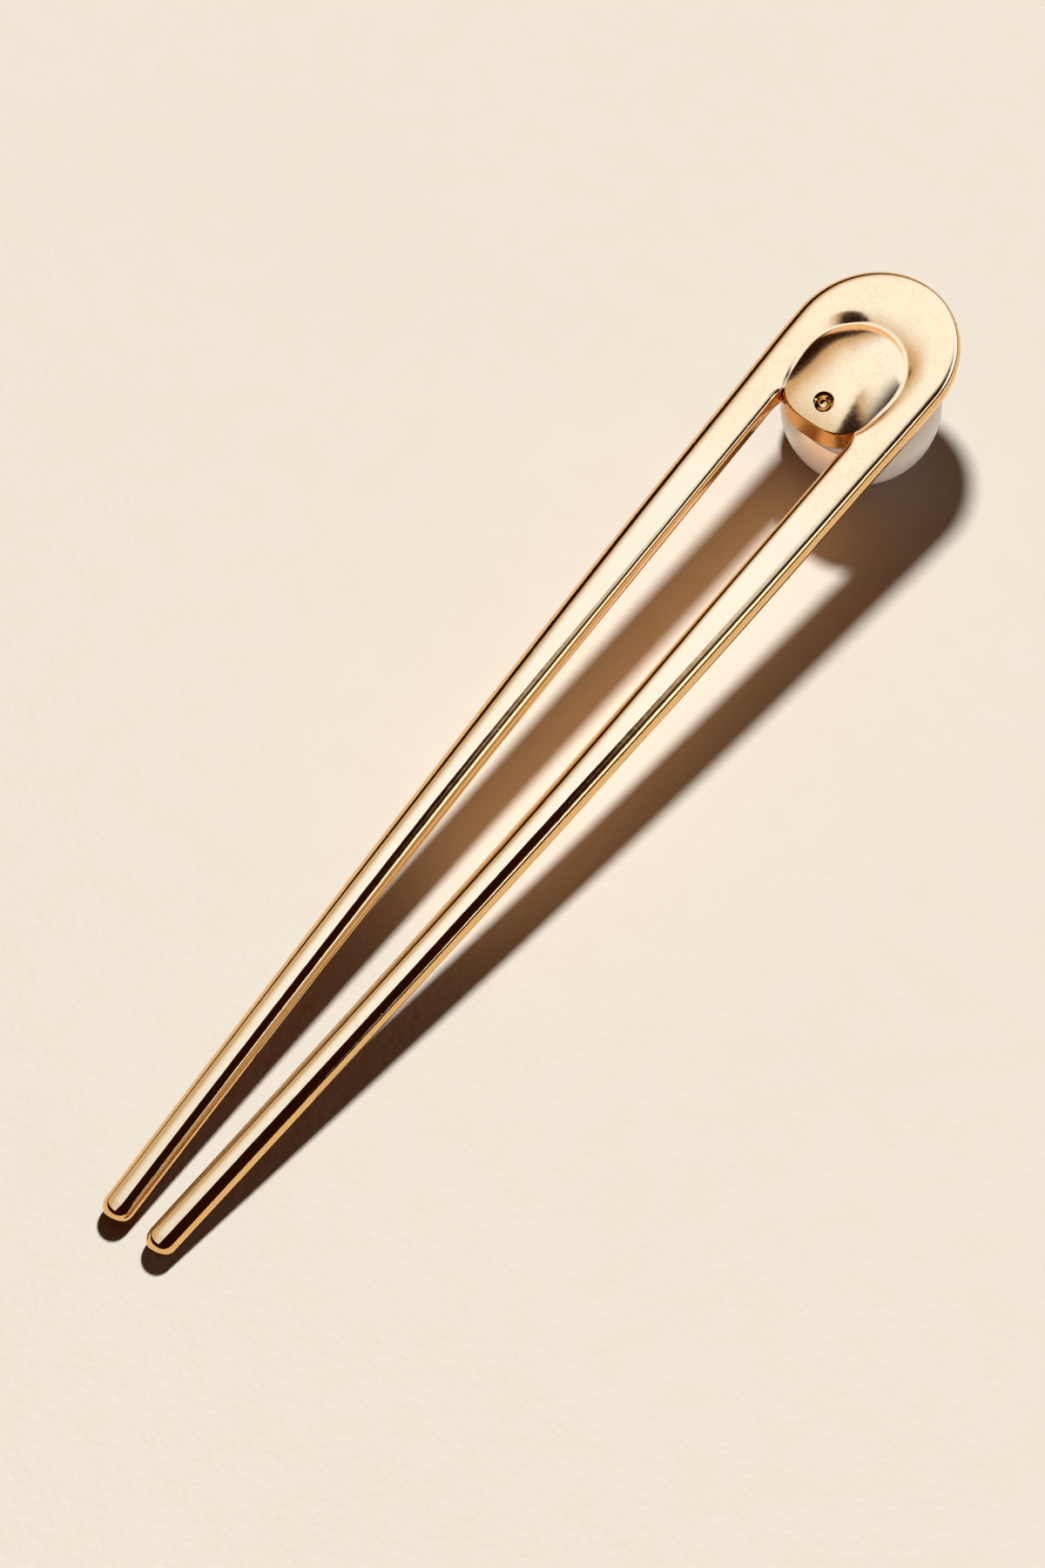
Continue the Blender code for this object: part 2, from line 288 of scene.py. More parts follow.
def findNotch():
    # Where the dome's rim crosses the leg's inner edge
    near, far = (radians(degrees) for degrees in dome["notchBetween"])
    for _ in range(halvings):
        angle = (near + far) / 2
        point = rimPoint(angle)
        near, far = (angle, far) if point.x < halfGap(point.y) else (near, angle)
    return near


notchAngle = findNotch()
notch = rimPoint(notchAngle)


def upperRimAngle(share):
    return mix(notchAngle, pi / 2, share)


def lowerRimAngle(share):
    return mix(-pi / 2, notchAngle, share)


def lipInset(angle):
    return dome["lipRound"] * ramp(angle, notchAngle, notchAngle - radians(dome["lipFade"]))


def backRingPoint(angle):
    # The edge of the dome's cap: the rim itself, drawn in where the lip begins
    inset = lipInset(angle) * (1 - sin(radians(dome["lipLean"])))
    point = rimPoint(angle) + rimInward(angle) * inset
    return Vector((point.x, point.y, backHeight(point.x, point.y)))


def frontRingPoint(angle):
    return rimPoint(angle) + rimInward(angle) * lipInset(angle)


# The casting's surface is patches of sections laid side by side

def outerSection(ring, frontRing, outer, outward, y):
    # Points from the inner end of the back face, over the outer edge, to the front face
    backRound = edgeRound(y, casting["outerRound"])
    frontRound = edgeRound(y, casting["frontRound"])
    top = -sinkAt(y)
    low = sinkAt(y) - casting["thickness"]
    wallTop, wallLow = top - backRound, low + frontRound
    flatEnd = outer - outward * backRound
    frontEnd = outer - outward * frontRound
    points = []
    for count in range(fineness["flat"]):
        spot = ring.lerp(flatEnd, (count / fineness["flat"]) ** fineness["flatCrowd"])
        height = backHeight(spot.x, spot.y) if y > dish["lowest"] else 0
        points.append(Vector((spot.x, spot.y, top + height)))
    for angle in quarterTurn(fineness["round"]):
        spot = flatEnd + outward * (backRound * sin(angle))
        points.append(spot + up(top - backRound * (1 - cos(angle))))
    for count in range(1, fineness["wall"]):
        points.append(outer + up(mix(wallTop, wallLow, count / fineness["wall"])))
    for angle in quarterTurn(fineness["round"]):
        spot = frontEnd + outward * (frontRound * cos(angle))
        points.append(spot + up(wallLow - frontRound * sin(angle)))
    for count in range(1, fineness["front"] + 1):
        spot = frontEnd.lerp(frontRing, count / fineness["front"])
        points.append(Vector((spot.x, spot.y, low)))
    return points


def wallSection(edge, into, topRound, lowRound, topHeight, low, lean=0.0):
    # Points up an inner wall: front round, wall, back round; lean is the slope it meets above
    points = []
    for angle in quarterTurn(fineness["round"])[1:]:
        spot = edge + into * (lowRound * (1 - sin(angle)))
        points.append(spot + up(low + lowRound * (1 - cos(angle))))
    wallTop = topHeight - topRound * cos(lean)
    for count in range(1, fineness["wall"]):
        points.append(edge + up(mix(low + lowRound, wallTop, count / fineness["wall"])))
    for count in range(fineness["round"] + 1):
        angle = mix(pi / 2, lean, count / fineness["round"])
        spot = edge + into * (topRound * (1 - sin(angle)))
        points.append(spot + up(topHeight - topRound * (cos(lean) - cos(angle))))
    return points


def headSection(share):
    # One line of the head from the rim out to the edge of shoulder or arch and round to the front
    ring = rimPoint(upperRimAngle(share))
    shoulderTop = casting["length"] - casting["archRise"]
    if share <= casting["archFrom"]:
        y = mix(notch.y, shoulderTop, share / casting["archFrom"])
        return outerSection(ring, ring, Vector((outerEdge(y), y, 0)), Vector((1, 0, 0)), y)
    turn = pi / 2 * (share - casting["archFrom"]) / (1 - casting["archFrom"])
    across = cos(turn) if share < 1 else 0
    high, wide = casting["archRise"], casting["headHalfWidth"]
    outer = Vector((wide * across, shoulderTop + high * sin(turn), 0))
    outward = Vector((high * across, wide * sin(turn), 0)).normalized()
    return outerSection(ring, ring, outer, outward, shoulderTop)


def legSection(y):
    # One line right round the leg
    grown = sqrt(ramp(notch.y - y, 0, casting["notchFade"]))
    topRound = edgeRound(y, casting["backRound"]) * grown
    lowRound = edgeRound(y, casting["frontRound"]) * grown
    into = Vector((1, 0, 0))
    inner = Vector((halfGap(y), y, 0))
    outer = Vector((outerEdge(y), y, 0))
    points = outerSection(inner + into * topRound, inner + into * lowRound, outer, into, y)
    low = sinkAt(y) - casting["thickness"]
    return points + wallSection(inner, into, topRound, lowRound, points[0].z, low)


def patch(shape, sections):
    # A grid laid through rows of points
    rows, columns = len(sections) - 1, len(sections[0]) - 1
    grid = bmesh.ops.create_grid(shape, x_segments=rows, y_segments=columns, size=1)
    for vert in grid["verts"]:
        row = round((vert.co.x + 1) / 2 * rows)
        column = round((vert.co.y + 1) / 2 * columns)
        vert.co = sections[row][column]


def headPatch(shape):
    patch(shape, [headSection(count / fineness["head"]) for count in range(fineness["head"] + 1)])


def legPatch(shape):
    tipRadius = casting["tipDiameter"] / 2
    legTop, legEnd = notch.y - casting["notchRun"], tipRadius + casting["tipEnd"]
    sections = []
    for count in range(fineness["notch"]):
        down = casting["notchRun"] * (count / fineness["notch"]) ** fineness["notchCrowd"]
        sections.append(legSection(notch.y - down))
    for count in range(fineness["leg"] + 1):
        sections.append(legSection(mix(legTop, legEnd, count / fineness["leg"])))
    # The tip: the last section shrinks towards its middle
    full = sections[-1]
    middle = sum(full, Vector()) / len(full)
    middle.z = -casting["thickness"] / 2
    power = 2 / casting["tipPower"]
    for angle in reversed(quarterTurn(fineness["tip"])[:-1]):
        offset = Vector((0, tipRadius * cos(angle) ** power, 0))
        size = sin(angle) ** power
        sections.append([middle + (point - middle) * size - offset for point in full])
    patch(shape, sections)


def capSections(ringPoint, centre, radius, heightAt):
    # Lines from a round hole's edge out to the rim, for each direction of the rim
    angles = [lowerRimAngle(count / fineness["lowerRim"]) for count in range(fineness["lowerRim"])]
    angles += [upperRimAngle(count / fineness["head"]) for count in range(fineness["head"] + 1)]
    sections = []
    for angle in angles:
        start = centre + (rimPoint(angle) - centre).normalized() * radius
        end = ringPoint(angle)
        if angle in (angles[0], angles[-1]):     # on the pin's middle line
            start.x = end.x = 0
        line = []
        for count in range(fineness["cap"] + 1):
            share = count / fineness["cap"]
            spot = start.lerp(end, mix(share, smooth(share), fineness["capCrowd"]))
            line.append(Vector((spot.x, spot.y, heightAt(spot.x, spot.y))))
        sections.append(line)
    return sections


def domePatch(shape):
    centre = Vector((0, hole["y"], 0))
    bottom = backHeight(0, hole["y"]) - hole["depth"]
    lines = []
    for line in capSections(backRingPoint, centre, hole["sinkRadius"], backHeight):
        direction = (Vector((line[0].x, line[0].y, 0)) - centre).normalized()
        # A bowl at the bottom, a short wall and a steep countersink with a soft lip
        inner = []
        for count in range(hole["bowlSteps"] + 1):
            reach = hole["bowlReach"] * count / hole["bowlSteps"]
            spot = centre + direction * reach
            rise = hole["bowlRound"] - sqrt(hole["bowlRound"] ** 2 - reach ** 2)
            inner.append(Vector((spot.x, spot.y, bottom + rise)))
        for reach, drop in hole["sink"]:
            spot = centre + direction * reach
            inner.append(Vector((spot.x, spot.y, backHeight(spot.x, spot.y) - drop)))
        lines.append(inner + line)
    patch(shape, lines)


def frontPatch(shape):
    low = -casting["thickness"]
    bottom = low + pegHole["depth"]
    centre = Vector((0, pegHole["y"], 0))
    lines = []
    for line in capSections(frontRingPoint, centre, pegHole["radius"], lambda x, y: low):
        inner = [Vector((0, pegHole["y"], bottom)), Vector((line[0].x, line[0].y, bottom))]
        lines.append(inner + line)
    patch(shape, lines)


def lipPatch(shape):
    # The wall under the lower end of the dome, between the notches
    low, lean = -casting["thickness"], radians(dome["lipLean"])
    sections = []
    for count in range(fineness["lowerRim"] + 1):
        angle = lowerRimAngle(count / fineness["lowerRim"])
        inset, height = lipInset(angle), backRingPoint(angle).z
        start = frontRingPoint(angle)
        wall = wallSection(rimPoint(angle), rimInward(angle), inset, inset, height, low, lean)
        sections.append([Vector((start.x, start.y, low))] + wall)
    for point in sections[0]:
        point.x = 0
    patch(shape, sections)


def beadCentreHeight():
    return -casting["thickness"] - bead["gap"] - bead["radius"]


def restMatrix():
    # The pin rests on its bead and both tips, so it leans about x
    tipRadius = casting["tipDiameter"] / 2
    beadDown = casting["thickness"] / 2 + bead["gap"] + bead["radius"]
    along = bead["y"] - tipRadius
    lean = atan2(beadDown, along) + asin((bead["radius"] - tipRadius) / hypot(beadDown, along))
    turn = Matrix.Rotation(lean, 4, "X")
    low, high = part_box("pearl")
    beadCentre = Vector((0, bead["y"], beadCentreHeight()))
    seat = (low + high) / 2 - turn @ (beadCentre * mm)
    return Matrix.Translation(seat) @ turn @ Matrix.Scale(mm, 4)


def finishShape(shape, name, material, mirrored=False):
    bmesh.ops.remove_doubles(shape, verts=shape.verts, dist=mergeWithin)
    if mirrored:
        everything = shape.verts[:] + shape.edges[:] + shape.faces[:]
        bmesh.ops.mirror(shape, geom=everything, axis="X", merge_dist=mergeWithin)
        bmesh.ops.remove_doubles(shape, verts=shape.verts, dist=mergeWithin)
    bmesh.ops.dissolve_degenerate(shape, edges=shape.edges, dist=mergeWithin / 10)
    bmesh.ops.recalc_face_normals(shape, faces=shape.faces)
    openEdges = sum(1 for edge in shape.edges if not edge.is_manifold)
    bmesh.ops.transform(shape, matrix=restMatrix(), verts=shape.verts)
    for face in shape.faces:
        face.smooth = True
    mesh = bpy.data.meshes.new(name)
    shape.to_mesh(mesh)
    shape.free()
    mesh.materials.append(material)
    print(name, "faces", len(mesh.polygons), "open edges", openEdges)
    return addObject(name, mesh)


# Where the skin changes: how far a face looks straight back, and where along the pin
skin = dict(
    backFacing=(0.70, 0.95),
    backAlong=(86, 98),
    wallFacing=(0.75, 0.45),
    wallAlong=(103, 101),
    wallInGap=(-0.1, 0.2),   # distance inwards from the legs' inner edges
)


def markSkin(shape):
    # headBack is 1 on the satin back of the head and on the dome, 0 on the bright edges and legs;
    # the wall layer is 1 on the wall under the dome, which no polishing wheel reaches, so it stays
    # satin, and it carries a painted shade there
    back = shape.verts.layers.float.new("headBack")
    wall = shape.verts.layers.float.new("satinWallPaintedShade")
    for vert in shape.verts:
        x, y, facing = abs(vert.co.x), vert.co.y, vert.normal.z
        vert[back] = ramp(facing, *skin["backFacing"]) * ramp(y, *skin["backAlong"])
        inGap = ramp(halfGap(y) - x, *skin["wallInGap"]) * ramp(y, *skin["wallAlong"])
        vert[wall] = inGap * ramp(facing, *skin["wallFacing"])


def makeCasting(material):
    shape = bmesh.new()
    headPatch(shape)
    legPatch(shape)
    domePatch(shape)
    frontPatch(shape)
    lipPatch(shape)
    bmesh.ops.remove_doubles(shape, verts=shape.verts, dist=mergeWithin)
    bmesh.ops.recalc_face_normals(shape, faces=shape.faces)
    markSkin(shape)
    return finishShape(shape, "pinCasting", material, mirrored=True)


gilding = dict(
    legTones=("#F0C282", "#EBBA78"),
    headTone="#F4BD77",
    thinTone="#E0A25C",      # where the plate is thin
    # painted shade: the brown of the wall under the dome, and how much of it
    paintedShadeWallTone="#C8842E",
    paintedShadeWallShare=0.8,
    thinLines=(0.84, 1.20),  # levels of the crossing lines between which the plate thins
    thinPatches=(0.42, 0.74),
    thinEverywhere=0.26,     # how much it thins along the lines, and how much more in the patches
    thinMore=0.30,
    roughness=(0.06, 0.15),  # of the legs and of the head's back
    wallRoughness=0.26,
    unevenRoughness=(0.85, 1.2),
    unevenGrain=(0.35, 0.65),
    lineRelief=0.7,          # beside the grain's 1
    pitSpacing=0.9,
    pitRadius=0.10,          # in shares of their spacing
    pitDepth=1.2,
    pitClusters=(0.54, 0.66),
    bump=(0.02, 0.035),      # strength on the legs and on the head's back
    pitBump=0.5,
    rippleBump=0.4,
    bumpHeight=0.03,
    rippleHeight=0.05,
)

# Noises in its skin: size in millimetres, detail, roughness, and how it is squeezed along x, y
# and z. The real polishing grain and lines are finer than 0.1 mm and are drawn as coarse as
# they need to show.
castMarks = dict(
    cloud=(6.0, 3.0, 0.5, (1, 1, 1)),
    grain=(0.22, 4.0, 0.5, (1, 1, 1)),
    longLines=(0.45, 2.0, 0.5, (4, 0.6, 1)),
    crossLines=(0.45, 2.0, 0.5, (0.6, 4, 1)),
    blotch=(1.6, 5.0, 0.65, (1, 1, 1)),
    ripple=(2.2, 2.0, 0.5, (1, 1, 1)),
)


def gildedZinc():
    # Zinc die casting, polished and gold plated: mirror bright legs with faint flow marks and
    # pits, and a head back left slightly satin, with a fine skin that shows tan where the plate
    # is thin
    material, tree = newMaterial("gildedZinc")
    place = addNode(tree, "TexCoord", {}, {})["Object"]
    back = addNode(tree, "Attribute", {"attribute_name": "headBack"}, {})["Fac"]
    wall = addNode(tree, "Attribute", {"attribute_name": "satinWallPaintedShade"}, {})["Fac"]
    marks = {}
    for name, (size, detail, roughness, squeeze) in castMarks.items():
        spread = addNode(tree, "Mapping", {}, {"Vector": place, "Scale": squeeze})[0]
        marks[name] = addNode(tree, "TexNoise", {}, {
            "Vector": spread, "Scale": 1 / (size * mm), "Detail": detail,
            "Roughness": roughness})["Fac"]
    weave = addNode(tree, "Math", {"operation": "ADD"}, {
        0: marks["longLines"], 1: marks["crossLines"]})[0]

    # Colour: clouds on the legs, one tone on the head, tan where the plate is thin, and a brown
    # painted shade on the wall under the dome
    tone = addNode(tree, "Mix", colours, {
        0: marks["cloud"],
        6: linear(gilding["legTones"][0]), 7: linear(gilding["legTones"][1])})[2]
    tone = addNode(tree, "Mix", colours, {0: back, 6: tone, 7: linear(gilding["headTone"])})[2]
    lines = addNode(tree, "MapRange", softRamp, {
        "Value": weave, "From Min": gilding["thinLines"][0],
        "From Max": gilding["thinLines"][1]})[0]
    patches = addNode(tree, "MapRange", softRamp, {
        "Value": marks["blotch"], "From Min": gilding["thinPatches"][0],
        "From Max": gilding["thinPatches"][1]})[0]
    thin = addNode(tree, "Math", {"operation": "MULTIPLY_ADD"}, {
        0: patches, 1: gilding["thinMore"], 2: gilding["thinEverywhere"]})[0]
    thin = addNode(tree, "Math", product, {0: thin, 1: lines})[0]
    thin = addNode(tree, "Math", product, {0: thin, 1: back})[0]
    tone = addNode(tree, "Mix", colours, {0: thin, 6: tone, 7: linear(gilding["thinTone"])})[2]
    # Painted shade: the wall under the dome turns brown
    paintedWallShade = addNode(tree, "Math", product, {0: wall, 1: gilding["paintedShadeWallShare"]})[0]
    tone = addNode(tree, "Mix", colours, {0: paintedWallShade, 6: tone, 7: linear(gilding["paintedShadeWallTone"])})[2]

    # Roughness: satin on the head and its wall, a little uneven everywhere
    satin = addNode(tree, "MapRange", softRamp, {
        "Value": back, "To Min": gilding["roughness"][0], "To Max": gilding["roughness"][1]})[0]
    wallSatin = addNode(tree, "Math", product, {0: wall, 1: gilding["wallRoughness"]})[0]
    satin = addNode(tree, "Math", {"operation": "MAXIMUM"}, {0: satin, 1: wallSatin})[0]
    uneven = addNode(tree, "MapRange", softRamp, {
        "Value": marks["grain"],
        "From Min": gilding["unevenGrain"][0], "From Max": gilding["unevenGrain"][1],
        "To Min": gilding["unevenRoughness"][0], "To Max": gilding["unevenRoughness"][1]})[0]
    satin = addNode(tree, "Math", product, {0: satin, 1: uneven})[0]

    # Relief: grain and lines, pits that come in clusters, and the casting's slow ripple
    height = addNode(tree, "Math", {"operation": "MULTIPLY_ADD"}, {
        0: weave, 1: gilding["lineRelief"], 2: marks["grain"]})[0]
    strength = addNode(tree, "MapRange", softRamp, {
        "Value": back, "To Min": gilding["bump"][0], "To Max": gilding["bump"][1]})[0]
    dots = addNode(tree, "TexVoronoi", {}, {
        "Vector": place, "Scale": 1 / (gilding["pitSpacing"] * mm)})["Distance"]
    pits = addNode(tree, "MapRange", softRamp, {
        "Value": dots, "From Max": gilding["pitRadius"],
        "To Min": -gilding["pitDepth"], "To Max": 0.0})[0]
    clusters = addNode(tree, "MapRange", softRamp, {
        "Value": marks["cloud"], "From Min": gilding["pitClusters"][0],
        "From Max": gilding["pitClusters"][1]})[0]
    pits = addNode(tree, "Math", product, {0: pits, 1: clusters})[0]
    relief = addNode(tree, "Bump", {}, {
        "Strength": strength, "Distance": gilding["bumpHeight"] * mm, "Height": height})[0]
    relief = addNode(tree, "Bump", {}, {
        "Strength": gilding["pitBump"], "Distance": gilding["bumpHeight"] * mm,
        "Height": pits, "Normal": relief})[0]
    relief = addNode(tree, "Bump", {}, {
        "Strength": gilding["rippleBump"], "Distance": gilding["rippleHeight"] * mm,
        "Height": marks["ripple"], "Normal": relief})[0]
    fillInputs(tree, tree.nodes["Principled BSDF"], {
        "Base Color": tone, "Metallic": 1.0, "Roughness": satin, "Normal": relief})
    return material


def turnedShape(profile, steps, height=0.0):
    # Spins a profile of (radius, height) about the bead's axis
    shape = bmesh.new()
    verts = [shape.verts.new((reach, 0, rise)) for reach, rise in profile]
    edges = [shape.edges.new(pair) for pair in zip(verts, verts[1:])]
    bmesh.ops.spin(shape, geom=verts + edges, axis=(0, 0, 1), cent=(0, 0, 0), angle=2 * pi,
                   steps=steps, use_merge=True)
    bmesh.ops.translate(shape, verts=shape.verts, vec=(0, bead["y"], height))
    return shape


bead = dict(
    radius=8.0,
    y=pegHole["y"],
    gap=0.3,                 # between the casting and the bead
    boreDepth=8.5,
    boreTip=0.3,             # height of the cone that the drill leaves at the bore's end
    mouthWider=0.15,         # the bore's chamfered mouth
    mouthDepth=0.12,
    arcSteps=96,
    turnSteps=128,
    bodyTones=("#F1E7DC", "#E9DED6"),
    # painted sheen: the lighter tone towards the bead's edges as seen, and how softly it sets in
    paintedSheenTone="#F2ECEE",
    paintedSheenBlend=0.35,
    cloudSize=5.0,
    gloss="#FFDDB0",
    roughness=0.32,
    lacquer=0.3,
    lacquerRoughness=0.12,
    sheen=0.45,
    sheenRoughness=0.35,
)


def makePearl(material):
    radius, bore = bead["radius"], pegHole["radius"]
    mouth = asin((bore + bead["mouthWider"]) / radius)
    end = radius - bead["boreDepth"]
    profile = [(0, end), (bore, end + bead["boreTip"])]
    profile.append((bore, radius * cos(mouth) - bead["mouthDepth"]))
    for count in range(bead["arcSteps"]):
        angle = mix(mouth, pi, count / bead["arcSteps"])
        profile.append((radius * sin(angle), radius * cos(angle)))
    profile.append((0, -radius))
    shape = turnedShape(profile, bead["turnSteps"], beadCentreHeight())
    return finishShape(shape, "pearlBead", material)


def pearlCoat():
    # Moulded bead dipped in pearl essence under clear lacquer: milky body, soft sheen and a
    # clear gloss on top; part of the sheen is painted into the colour, lighter towards the edges
    material, tree = newMaterial("pearlCoat")
    place = addNode(tree, "TexCoord", {}, {})["Object"]
    cloud = addNode(tree, "TexNoise", {}, {
        "Vector": place, "Scale": 1 / (bead["cloudSize"] * mm), "Detail": 2.0})["Fac"]
    # Painted sheen: the base colour turns lighter towards the bead's edges as seen
    rim = addNode(tree, "LayerWeight", {}, {"Blend": bead["paintedSheenBlend"]})["Facing"]
    tone = addNode(tree, "Mix", colours, {
        0: cloud, 6: linear(bead["bodyTones"][0]), 7: linear(bead["bodyTones"][1])})[2]
    tone = addNode(tree, "Mix", colours, {0: rim, 6: tone, 7: linear(bead["paintedSheenTone"])})[2]
    fillInputs(tree, tree.nodes["Principled BSDF"], {
        "Base Color": tone,
        "Roughness": bead["roughness"], "Specular Tint": linear(bead["gloss"]),
        "Coat Weight": bead["lacquer"], "Coat Roughness": bead["lacquerRoughness"],
        "Sheen Weight": bead["sheen"], "Sheen Roughness": bead["sheenRoughness"]})
    return material


peg = dict(
    radius=0.6,
    chamfer=0.15,
    topGap=0.3,              # left above it in the casting and below it in the bead
    endGap=0.6,
    turnSteps=32,
    tone="#C9A25B",
    lineSize=0.3,            # drawing lines, drawn coarser than the real 0.05 mm
    roughness=(0.22, 0.42),
)


def makePeg(material):
    radius, chamfer = peg["radius"], peg["chamfer"]
    top = -casting["thickness"] + pegHole["depth"] - peg["topGap"]
    low = -casting["thickness"] - bead["gap"] - bead["boreDepth"] + peg["endGap"]
    profile = [(0, top), (radius - chamfer, top), (radius, top - chamfer),
               (radius, low + chamfer), (radius - chamfer, low), (0, low)]
    return finishShape(turnedShape(profile, peg["turnSteps"]), "pearlPeg", material)


def drawnBrass():
    # Brass wire as drawn and cut: dull yellow with fine lines
    material, tree = newMaterial("drawnBrass")
    place = addNode(tree, "TexCoord", {}, {})["Object"]
    lines = addNode(tree, "TexNoise", {}, {
        "Vector": place, "Scale": 1 / (peg["lineSize"] * mm), "Detail": 2.0})["Fac"]
    roughness = addNode(tree, "MapRange", {}, {
        "Value": lines, "To Min": peg["roughness"][0], "To Max": peg["roughness"][1]})[0]
    fillInputs(tree, tree.nodes["Principled BSDF"], {
        "Base Color": linear(peg["tone"]), "Metallic": 1.0, "Roughness": roughness})
    return material


glue = dict(
    inner=1.0,
    outer=3.9,
    clearance=0.02,          # to the casting and to the bead
    waist=0.32,              # how deep the meniscus is
    footIn=0.10,             # how much narrower the ring is on the bead than on the casting
    sideSteps=10,
    seatSteps=8,
    turnSteps=96,
    tones=("#D8CDAE", "#CDBF9A"),
    cloudSize=1.5,
    roughness=0.25,
    clear=0.3,
    ior=1.52,
)


def makeGlue(material):
    # A squeezed-out ring of adhesive with a hollow meniscus between casting and bead
    inner, outer = glue["inner"], glue["outer"]
    foot = outer - glue["footIn"]
    top = -casting["thickness"] - glue["clearance"]
    ball = bead["radius"] + glue["clearance"]

    def beadTop(reach):
        return beadCentreHeight() + sqrt(ball * ball - reach * reach)

    profile = [(inner, beadTop(inner)), (inner, top), (outer, top)]
    for count in range(1, glue["sideSteps"]):
        share = count / glue["sideSteps"]
        reach = outer - glue["waist"] * sin(pi * share) - glue["footIn"] * share
        profile.append((reach, mix(top, beadTop(foot), share)))
    for count in range(glue["seatSteps"] + 1):
        reach = mix(foot, inner, count / glue["seatSteps"])
        profile.append((reach, beadTop(reach)))
    return finishShape(turnedShape(profile, glue["turnSteps"]), "glueRing", material)


def clearAdhesive():
    # Cured epoxy: slightly yellow, smooth, half clear
    material, tree = newMaterial("clearAdhesive")
    place = addNode(tree, "TexCoord", {}, {})["Object"]
    cloud = addNode(tree, "TexNoise", {}, {
        "Vector": place, "Scale": 1 / (glue["cloudSize"] * mm), "Detail": 2.0})["Fac"]
    tone = addNode(tree, "Mix", colours, {
        0: cloud, 6: linear(glue["tones"][0]), 7: linear(glue["tones"][1])})[2]
    fillInputs(tree, tree.nodes["Principled BSDF"], {
        "Base Color": tone, "Roughness": glue["roughness"],
        "Transmission Weight": glue["clear"], "IOR": glue["ior"]})
    return material


# The pin's four pieces
pinPiece = makeCasting(gildedZinc())
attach(pinPiece, "root")
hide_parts("pin_casting")

pearlPiece = makePearl(pearlCoat())
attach(pearlPiece, "root")
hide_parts("pearl")

pegPiece = makePeg(drawnBrass())
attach(pegPiece, "root")
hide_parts("pearl_peg")

gluePiece = makeGlue(clearAdhesive())
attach(gluePiece, "root")
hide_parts("glue_ring")
print("pieces made")


# The stage, in metres unless a note says millimetres
card = dict(
    halfSize=4.0,
    tones=("#EDE6DA", "#E9E1D4"),
    fleckTone="#E6DCCC",
    fleckShare=0.25,
    fleckRange=(0.38, 0.70),
    cloudSize=25.0,          # sizes in the paper, in millimetres; a real fibre is 0.03 mm wide
    fleckSize=4.0,           # and is drawn as coarse as it needs to show
    fibreSize=0.8,
    fibreHeight=0.06,
    fibreBump=0.7,
    roughness=0.85,
    dimmed="#7A4A26",
)

# A small near lamp over the left leg, hidden from mirrors
keyLamp = dict(
    place=(-0.034, 0.0445, 0.150),
    radius=0.0085,
    power=40.0,
    colour="#FFFEFB",
    evenUpTo=40.0,           # how many times brighter its low rays may get
)

# Soft light from the right that only lights matt surfaces
window = dict(place=(1.0, 0.276, 0.069), size=(0.52, 0.10), power=2.4, colour="#FFF6EC")

# Warm light that the polished legs throw back into the gap between them; it hangs in the gap
gapGlow = dict(place=(0.0, 0.014, 0.009), size=(0.005, 0.060), power=0.0011, colour="#FFC184")

# Fill light for the shadows, and what the camera sees beyond the floor
room = dict(shade="#38210F", backdrop="#F0E5D5")

# The sheet that the gold mirrors, hung level above the pin: colours with their brightness
sheet = dict(
    height=0.30,
    halfSize=2.2,
    white=("#9BBBFF", 3.55),
    tan=("#DCDCE4", 1.0),
    strip=("#CBDAFF", 2.7),
    dark=("#3A1C08", 0.5),
    edge=(0.0, 0.08, -0.60, 0.082),  # across this stretch the near edge steps from -0.60 to 0.082
    slant=1.0,               # how far the line on the right leans
)

# On a tan ground these fields lie one over the other. A field's share is the product of its
# ramps: a direction, a stretch in metres, and the shares before and after it. Across runs over
# both legs, along from their tips to the head.
sheetFields = (
    # White over the pin, weaker towards the tips, and dark far on the left past the head
    ("white", (("across", -0.36, -0.06, 0, 1), ("along", -0.14, 0.05, 0.35, 1))),
    ("dark", (("across", -0.46, -0.37, 1, 0), ("along", 0.12, 0.22, 0, 1))),
    # A tan border along the near edge, and dark before it, where the camera stands
    ("tan", (("pastEdge", 0.0, 0.075, 1, 0),)),
    ("dark", (("pastEdge", -0.018, 0.018, 1, 0),)),
    # Dark on the right beside the head
    ("dark", (("along", 0.03, 0.06, 0, 1), ("along", 0.44, 0.50, 1, 0),
              ("across", 0.12, 0.32, 0, 1))),
    # Dark past a slanting line on the right, with a bright strip in it, and dark at the end
    ("dark", (("slanted", 0.25, 0.32, 0, 1), ("across", 0.22, 0.27, 0, 1))),
    ("strip", (("slanted", 0.25, 0.32, 0, 1), ("across", 0.22, 0.27, 0, 1),
               ("along", 0.13, 0.21, 0, 1))),
    ("dark", (("across", 1.2, 1.4, 0, 1),)),
)

# Fitted to the photo: place in metres, turn in degrees, lens and film in millimetres
photoCamera = dict(
    place=(0.06496, -0.13767, 0.24137),
    turn=(31.5113, -6.5344, 36.5836),
    lens=70,
    film=36,
    nearest=0.01,
)


def addLevelSheet(name, halfSize, material):
    shape = bmesh.new()
    bmesh.ops.create_grid(shape, x_segments=1, y_segments=1, size=halfSize)
    mesh = bpy.data.meshes.new(name)
    shape.to_mesh(mesh)
    shape.free()
    mesh.materials.append(material)
    return addObject(name, mesh)


